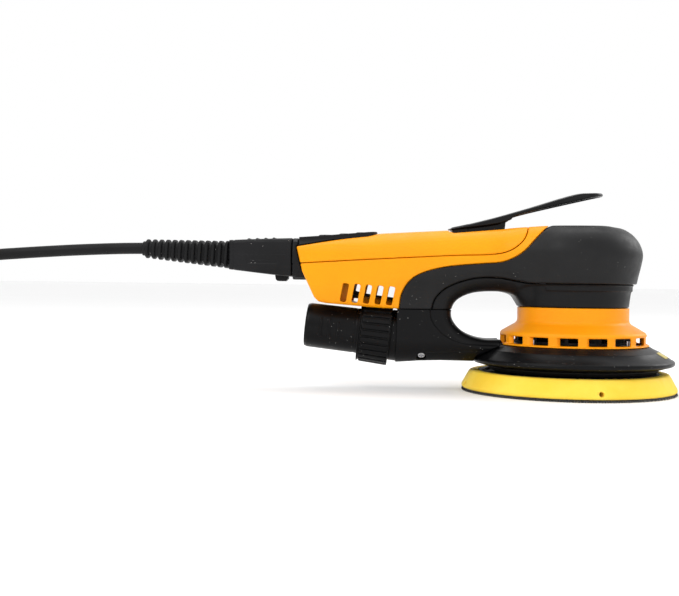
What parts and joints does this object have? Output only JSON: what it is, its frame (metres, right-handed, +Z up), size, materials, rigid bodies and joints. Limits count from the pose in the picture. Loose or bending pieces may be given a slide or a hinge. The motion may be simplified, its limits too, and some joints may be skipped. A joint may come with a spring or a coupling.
{
  "type": "orbital sander",
  "caption": "Electric random orbital sander with a round foam backing pad, rubber head, finger loop handle, paddle lever, swivelling dust outlet and a detachable mains lead.",
  "frame": {"origin": "centre of the hook face of the backing pad, on the surface the sander stands on, with the pad at rest", "axes": "+X forward to the nose, the cord leaves towards -X; +Z up; +Y to the user's left; the motor axis is 2.5 mm in front of the pad's centre"},
  "size_m": [0.6595, 0.125, 0.1172],
  "materials": {
    "yellow_shell": "satin moulded plastic",
    "motor_ring": "satin moulded plastic",
    "grip_rubber": "soft matte rubber",
    "black_housing": "fine textured plastic",
    "black_duct": "satin moulded plastic",
    "tab": "matte",
    "seal_rubber": "matte rubber",
    "button_plastic": "fine textured plastic",
    "lens": "clear green",
    "lever_plastic": "satin moulded plastic",
    "steel": "machined",
    "switch_plastic": "moulded",
    "circuit_board": "solder mask",
    "capacitor_sleeve": "shrink sleeve",
    "lamination": "stacked sheet",
    "copper_wire": "enamelled wire",
    "magnet": "nickel plated",
    "cast_alloy": "die cast",
    "fan_plastic": "moulded",
    "pad_plate": "glass filled nylon",
    "pad_foam": "open cell foam with skin",
    "hook_fabric": "woven hook pile",
    "brass_contact": "plated contact",
    "nickel_contact": "nickel plated",
    "wire_sleeve": "pvc sleeve",
    "connector_plastic": "fine textured plastic",
    "cord_rubber": "matte rubber",
    "tie_fabric": "hook and loop strap"
  },
  "bodies": {
    "housing": {"upper_cover": "yellow_shell", "handle_shell": "yellow_shell", "rubber_grip": "grip_rubber", "inner_housing": "black_housing", "exhaust_duct": "black_duct", "dust_shroud": "black_duct", "shroud_tab": "tab", "brake_seal": "seal_rubber", "motor_housing": "motor_ring", "power_inlet": "black_housing", "inlet_pins": "brass_contact", "control_panel": "black_housing", "status_lens": "lens", "lever_pin": "steel", "lever_spring": "steel", "lever_switch": "switch_plastic", "switch_bracket": "black_housing", "button_board": "circuit_board", "motor_board": "circuit_board", "capacitors": "capacitor_sleeve", "hall_board": "circuit_board", "stator_core": "lamination", "stator_windings": "copper_wire", "upper_bearing": "steel", "lower_bearing": "steel", "bearing_bridge": "cast_alloy", "duct_screws": "steel", "shroud_screws": "steel", "housing_screws": "steel", "motor_leads": "wire_sleeve"},
    "rotor": {"rotor_core": "lamination", "rotor_magnets": "magnet", "rotor_shaft": "steel", "cooling_fan": "fan_plastic", "counterweight": "lamination", "spindle_bearings": "steel"},
    "pad": {"spindle": "steel", "pad_plate": "pad_plate", "pad_foam": "pad_foam", "hook_face": "hook_fabric", "pad_stud": "steel"},
    "lever_arm": {"lever": "lever_plastic"},
    "power_key": {"power_button": "button_plastic"},
    "speed_up_key": {"speed_up_button": "button_plastic"},
    "speed_down_key": {"speed_down_button": "button_plastic"},
    "outlet_collar": {"swivel_collar": "black_duct"},
    "outlet_nozzle": {"hose_nozzle": "black_duct", "nozzle_seal": "seal_rubber"},
    "mains_lead": {"connector_body": "connector_plastic", "strain_relief": "cord_rubber", "cord_run": "cord_rubber", "cord_coil": "cord_rubber", "cord_tie": "tie_fabric", "cord_tail": "cord_rubber", "plug_body": "connector_plastic", "plug_pins": "nickel_contact"},
    "latch_key": {"connector_latch": "connector_plastic"}
  },
  "joints": [
    {"name": "rotor_spin", "type": "hinge", "parent": "housing", "child": "rotor", "pos_m": [0.0025, 0, 0.05], "axis": [0, 0, 1], "continuous": true},
    {"name": "pad_spin", "type": "hinge", "parent": "rotor", "child": "pad", "pos_m": [0, 0, 0.01], "axis": [0, 0, 1], "continuous": true},
    {"name": "lever_press", "type": "hinge", "parent": "housing", "child": "lever_arm", "pos_m": [-0.0675, 0, 0.0902], "axis": [0, 1, 0], "range_deg": [0, 6], "stiffness_Nm_per_rad": 0.8, "springref_deg": -6.88, "deforming": ["lever_spring"]},
    {"name": "power_press", "type": "slide", "parent": "housing", "child": "power_key", "axis": [0, 0, -1], "range_m": [0, 0.0008], "stiffness_N_per_m": 500, "springref_m": -0.002},
    {"name": "speed_up_press", "type": "slide", "parent": "housing", "child": "speed_up_key", "axis": [0, 0, -1], "range_m": [0, 0.0008], "stiffness_N_per_m": 500, "springref_m": -0.002},
    {"name": "speed_down_press", "type": "slide", "parent": "housing", "child": "speed_down_key", "axis": [0, 0, -1], "range_m": [0, 0.0008], "stiffness_N_per_m": 500, "springref_m": -0.002},
    {"name": "collar_turn", "type": "hinge", "parent": "housing", "child": "outlet_collar", "pos_m": [-0.1047, 0, 0.0318], "axis": [-0.9942, 0, 0.108], "range_deg": [0, 60]},
    {"name": "nozzle_swivel", "type": "hinge", "parent": "outlet_collar", "child": "outlet_nozzle", "pos_m": [-0.1047, 0, 0.0318], "axis": [-0.9942, 0, 0.108], "continuous": true},
    {"name": "connector_unplug", "type": "slide", "parent": "housing", "child": "mains_lead", "axis": [-1, 0, 0], "range_m": [0, 0.013]},
    {"name": "latch_press", "type": "slide", "parent": "mains_lead", "child": "latch_key", "axis": [0, 0, 1], "range_m": [0, 0.001], "stiffness_N_per_m": 800, "springref_m": -0.0015}
  ]
}
